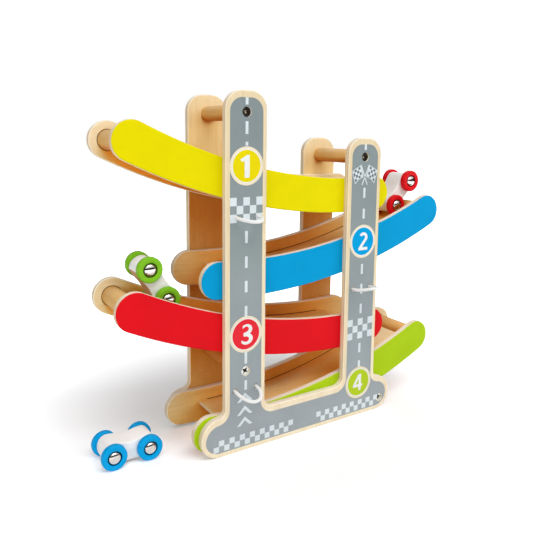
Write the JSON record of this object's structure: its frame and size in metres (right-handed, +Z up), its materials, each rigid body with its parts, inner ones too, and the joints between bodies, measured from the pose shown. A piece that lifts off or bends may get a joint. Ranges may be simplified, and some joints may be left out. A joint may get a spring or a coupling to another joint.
{
  "type": "wooden racing track",
  "caption": "Wooden click-clack car track: curved ramps in a zig-zag between two printed plywood panels, with small flip cars that run down and tip from ramp to ramp.",
  "frame": {"origin": "middle of the footprint of the track and its cars, on the surface that it stands on", "axes": "+Z up, +X along the ramps from the tall upright to the short one, -Y out of the printed front"},
  "size_m": [0.3326, 0.0876, 0.29],
  "materials": {
    "printed_plywood": "grey road print on birch plywood, natural edges",
    "yellow_paint": "satin yellow paint",
    "blue_paint": "satin blue paint",
    "red_paint": "satin red paint",
    "green_paint": "satin green paint",
    "floor_plywood": "bare sanded",
    "beech": "bare sanded",
    "dark_screw": "blackened",
    "bright_screw": "zinc plated",
    "white_cord": "round braided cord",
    "white_paint": "satin white paint, bare underside",
    "blue_wheel": "gloss blue paint",
    "green_wheel": "gloss green paint",
    "red_wheel": "gloss red paint",
    "chrome_pin": "polished"
  },
  "bodies": {
    "track": {"back_panel": "printed_plywood", "blue_back_wall": "blue_paint", "blue_end_dowel": "beech", "blue_floor": "floor_plywood", "blue_front_wall": "blue_paint", "front_panel": "printed_plywood", "green_back_wall": "green_paint", "green_end_dowel": "beech", "green_floor": "floor_plywood", "green_front_wall": "green_paint", "low_left_crossbar": "beech", "low_left_crossbar_back_screw": "bright_screw", "low_left_crossbar_front_screw": "bright_screw", "low_right_crossbar": "beech", "low_right_crossbar_back_screw": "bright_screw", "low_right_crossbar_front_screw": "bright_screw", "lower_tie": "white_cord", "middle_tie": "white_cord", "red_back_wall": "red_paint", "red_end_dowel": "beech", "red_floor": "floor_plywood", "red_front_wall": "red_paint", "top_left_crossbar": "beech", "top_left_crossbar_back_screw": "dark_screw", "top_left_crossbar_front_screw": "dark_screw", "top_right_crossbar": "beech", "top_right_crossbar_back_screw": "dark_screw", "top_right_crossbar_front_screw": "dark_screw", "upper_tie": "white_cord", "yellow_back_wall": "yellow_paint", "yellow_end_dowel": "beech", "yellow_floor": "floor_plywood", "yellow_front_wall": "yellow_paint"},
    "blue_car": {"blue_car_body": "white_paint", "blue_car_front_right_pin": "chrome_pin", "blue_car_front_left_pin": "chrome_pin", "blue_car_rear_right_pin": "chrome_pin", "blue_car_rear_left_pin": "chrome_pin"},
    "blue_car_front_right_wheel": {"blue_car_front_right_wheel": "blue_wheel"},
    "blue_car_front_left_wheel": {"blue_car_front_left_wheel": "blue_wheel"},
    "blue_car_rear_right_wheel": {"blue_car_rear_right_wheel": "blue_wheel"},
    "blue_car_rear_left_wheel": {"blue_car_rear_left_wheel": "blue_wheel"},
    "green_car": {"green_car_body": "white_paint", "green_car_front_right_pin": "chrome_pin", "green_car_front_left_pin": "chrome_pin", "green_car_rear_right_pin": "chrome_pin", "green_car_rear_left_pin": "chrome_pin"},
    "green_car_front_right_wheel": {"green_car_front_right_wheel": "green_wheel"},
    "green_car_front_left_wheel": {"green_car_front_left_wheel": "green_wheel"},
    "green_car_rear_right_wheel": {"green_car_rear_right_wheel": "green_wheel"},
    "green_car_rear_left_wheel": {"green_car_rear_left_wheel": "green_wheel"},
    "red_car": {"red_car_body": "white_paint", "red_car_front_right_pin": "chrome_pin", "red_car_front_left_pin": "chrome_pin", "red_car_rear_right_pin": "chrome_pin", "red_car_rear_left_pin": "chrome_pin"},
    "red_car_front_right_wheel": {"red_car_front_right_wheel": "red_wheel"},
    "red_car_front_left_wheel": {"red_car_front_left_wheel": "red_wheel"},
    "red_car_rear_right_wheel": {"red_car_rear_right_wheel": "red_wheel"},
    "red_car_rear_left_wheel": {"red_car_rear_left_wheel": "red_wheel"}
  },
  "joints": [
    {"name": "blue_car_run", "type": "slide", "parent": "track", "child": "blue_car", "axis": [-1, 0, 0], "range_m": [-0.04, 0.1]},
    {"name": "blue_car_front_right_spin", "type": "hinge", "parent": "blue_car", "child": "blue_car_front_right_wheel", "pos_m": [-0.15618, 0.01645, 0.01025], "axis": [0, -1, 0], "continuous": true},
    {"name": "blue_car_front_left_spin", "type": "hinge", "parent": "blue_car", "child": "blue_car_front_left_wheel", "pos_m": [-0.15618, -0.00845, 0.01025], "axis": [0, -1, 0], "continuous": true},
    {"name": "blue_car_rear_right_spin", "type": "hinge", "parent": "blue_car", "child": "blue_car_rear_right_wheel", "pos_m": [-0.12718, 0.01645, 0.01025], "axis": [0, -1, 0], "continuous": true},
    {"name": "blue_car_rear_left_spin", "type": "hinge", "parent": "blue_car", "child": "blue_car_rear_left_wheel", "pos_m": [-0.12718, -0.00845, 0.01025], "axis": [0, -1, 0], "continuous": true},
    {"name": "green_car_flip", "type": "hinge", "parent": "track", "child": "green_car", "pos_m": [-0.11198, 0, 0.1297], "axis": [0, 1, 0], "range_deg": [-25, 136]},
    {"name": "green_car_front_right_spin", "type": "hinge", "parent": "green_car", "child": "green_car_front_right_wheel", "pos_m": [-0.11198, -0.01245, 0.1297], "axis": [0, 1, 0], "continuous": true},
    {"name": "green_car_front_left_spin", "type": "hinge", "parent": "green_car", "child": "green_car_front_left_wheel", "pos_m": [-0.11198, 0.01245, 0.1297], "axis": [0, 1, 0], "continuous": true},
    {"name": "green_car_rear_right_spin", "type": "hinge", "parent": "green_car", "child": "green_car_rear_right_wheel", "pos_m": [-0.12648, -0.01245, 0.15482], "axis": [0, 1, 0], "continuous": true},
    {"name": "green_car_rear_left_spin", "type": "hinge", "parent": "green_car", "child": "green_car_rear_left_wheel", "pos_m": [-0.12648, 0.01245, 0.15482], "axis": [0, 1, 0], "continuous": true},
    {"name": "red_car_flip", "type": "hinge", "parent": "track", "child": "red_car", "pos_m": [0.12672, 0, 0.19007], "axis": [0, -1, 0], "range_deg": [-22, 140]},
    {"name": "red_car_front_right_spin", "type": "hinge", "parent": "red_car", "child": "red_car_front_right_wheel", "pos_m": [0.12672, 0.01245, 0.19007], "axis": [0, -1, 0], "continuous": true},
    {"name": "red_car_front_left_spin", "type": "hinge", "parent": "red_car", "child": "red_car_front_left_wheel", "pos_m": [0.12672, -0.01245, 0.19007], "axis": [0, -1, 0], "continuous": true},
    {"name": "red_car_rear_right_spin", "type": "hinge", "parent": "red_car", "child": "red_car_rear_right_wheel", "pos_m": [0.14442, 0.01245, 0.21305], "axis": [0, -1, 0], "continuous": true},
    {"name": "red_car_rear_left_spin", "type": "hinge", "parent": "red_car", "child": "red_car_rear_left_wheel", "pos_m": [0.14442, -0.01245, 0.21305], "axis": [0, -1, 0], "continuous": true}
  ]
}
